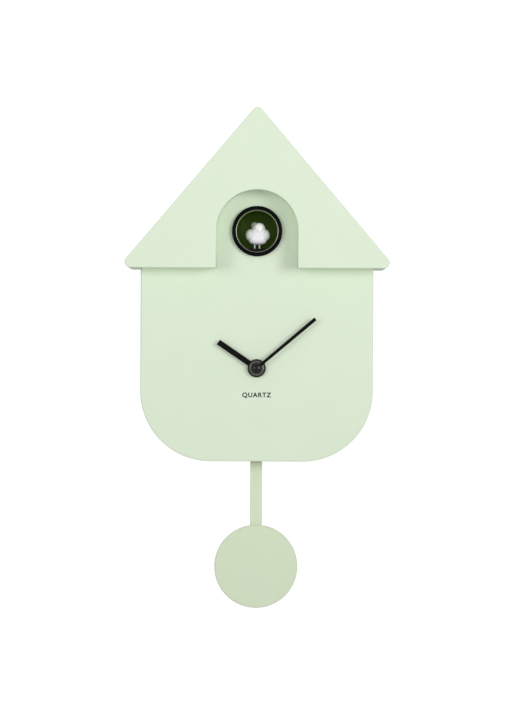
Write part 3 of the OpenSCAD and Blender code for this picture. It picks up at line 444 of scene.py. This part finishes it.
def centre():
    """The hour hand's hub with its fine ring, made of bright metal as a painted highlight, and the domed
    cap in front.
    """
    low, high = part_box("hour_hand")
    edge = 0.25 * MM
    proud = low.y - 0.1 * MM
    profile = [(HUB_BORE_R, high.y), (HUB_R, high.y)]
    profile += arc(HUB_R - edge, proud + edge, edge, 0, -90, 4)
    profile += [(HUB_BORE_R, proud)]
    place(smooth(lathe("hand_hub", profile, DIAL), 50), "hour_hand", HUB)
    rim = arc(HUB_RIM_R, low.y - 0.06 * MM, 0.17 * MM, 0, 330, 11)
    # The hub's fine ring takes the bright metal finish, a painted highlight round the hub.
    place(smooth(lathe("hub_rim", rim, DIAL, 96), 80, False), "hour_hand", RIM_HIGHLIGHT)

    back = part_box("centre_cap")[1].y
    chamfer = 0.15 * MM
    wall = 0.7 * MM
    height = 3.5 * MM
    profile = [(0.0, back), (CAP_R - chamfer, back), (CAP_R, back - chamfer), (CAP_R, back - wall)]
    steps = 14
    for i in range(1, steps + 1):
        a = math.pi / 2 * i / steps
        profile.append((CAP_R * math.cos(a), back - wall - (height - wall) * math.sin(a)))
    profile[-1] = (0.0, back - height)
    place(smooth(lathe("cap_dome", profile, DIAL), 50), "centre_cap", replaces=["centre_cap"])


def dial_print():
    """A small generic word under the hands, printed in dark ink."""
    curve = bpy.data.curves.new("dial_word", "FONT")
    curve.body = "QUARTZ"
    curve.align_x = "CENTER"
    curve.align_y = "CENTER"
    curve.size = 5.3 * MM
    curve.space_character = 1.15
    curve.offset = 0.14 * MM
    curve.extrude = 0.02 * MM
    word = bpy.data.objects.new("dial_word", curve)
    bpy.context.scene.collection.objects.link(word)
    word.rotation_euler = (math.pi / 2, 0, 0)
    word.location = (DIAL.x, FACE - 0.02 * MM, DIAL.z - WORD_DROP)
    bpy.context.view_layer.update()
    graph = bpy.context.evaluated_depsgraph_get()
    mesh = bpy.data.meshes.new_from_object(word.evaluated_get(graph))
    mesh.transform(word.matrix_world)
    bpy.data.objects.remove(word)
    obj = bpy.data.objects.new("dial_print", mesh)
    bpy.context.scene.collection.objects.link(obj)
    place(obj, "front_housing", INK)


# ---- scene ----

def area_light(name, location, target, size, power, spread=180):
    """A soft box that faces its target. A spread under 180 narrows its beam."""
    data = bpy.data.lights.new(name, "AREA")
    data.shape = "RECTANGLE"
    data.size, data.size_y = size
    data.energy = power
    data.spread = math.radians(spread)
    light = bpy.data.objects.new(name, data)
    light.location = location
    light.rotation_euler = (Vector(target) - Vector(location)).to_track_quat("-Z", "Y").to_euler()
    bpy.context.scene.collection.objects.link(light)
    return light


def lights():
    """Soft boxes left, right (the stronger) and behind, and a fill from the front that isn't mirrored."""
    high = (0, FACE, 0.08)
    area_light("left_box", (-1.0, -1.5, 0.1), high, (0.7, 0.7), 0.9, 64)
    area_light("right_box", (1.0, -1.5, 0.1), high, (0.7, 0.7), 1.55, 64)
    area_light("front_fill", (0, -3.6, 0.2), high, (1.6, 1.2), 0.55, 30).visible_glossy = False
    area_light("back_box", (-0.6, 1.6, 0.6), high, (1.2, 1.2), 5, 120)


def world():
    """An even surround, plain white where the camera sees it."""
    background = bpy.data.worlds.new("white_studio")
    bpy.context.scene.world = background
    background.use_nodes = True
    tree = background.node_tree
    shader = tree.nodes["Background"]
    path = tree.nodes.new("ShaderNodeLightPath")
    strength = tree.nodes.new("ShaderNodeMapRange")
    strength.inputs["To Min"].default_value = 0.45
    strength.inputs["To Max"].default_value = 1.05
    tree.links.new(path.outputs["Is Camera Ray"], strength.inputs["Value"])
    tree.links.new(strength.outputs["Result"], shader.inputs["Strength"])
    shader.inputs["Color"].default_value = (1, 1, 1, 1)


def floor():
    """A pale floor below the hanging clock, clear of the front view."""
    bm = bmesh.new()
    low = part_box("pendulum_bob")[0].z - 145 * MM
    for x, y in ((-1.2, -1.6), (1.2, -1.6), (1.2, 0.35), (-1.2, 0.35)):
        bm.verts.new((x, y, low))
    bm.faces.new(bm.verts)
    obj = from_bmesh("floor", bm)
    paper = finish("floor_paper", (240, 240, 238), (236, 236, 234), (0.6, 0.7), relief=0.00005)
    obj.data.materials.append(paper)


def camera():
    """A long lens, straight on, aimed a little right of the clock's middle and rolled a touch."""
    distance = 3.0
    view_height = 578.6 * MM
    sensor = 36
    data = bpy.data.cameras.new("camera")
    data.sensor_width = sensor
    data.lens = sensor * distance / view_height
    data.clip_end = 20
    cam = bpy.data.objects.new("camera", data)
    target = Vector((1.1 * MM, ROOF_FRONT, DIAL.z + 9.2 * MM))
    cam.location = target + Vector((0, -distance, 0))
    look = (target - cam.location).to_track_quat("-Z", "Y")
    roll = Matrix.Rotation(math.radians(0.25), 4, "Z")
    cam.rotation_euler = (look.to_matrix().to_4x4() @ roll).to_euler()
    bpy.context.scene.collection.objects.link(cam)
    bpy.context.scene.camera = cam


bpy.context.scene.view_settings.view_transform = "Standard"
camera()
for name, obj in NODES.items():
    for material_slot in obj.material_slots:
        material_slot.material = FINISHES[SLOT_OF[name]]
housing()
roof()
pendulum()
window()
bird()
hands()
centre()
dial_print()
lights()
world()
floor()
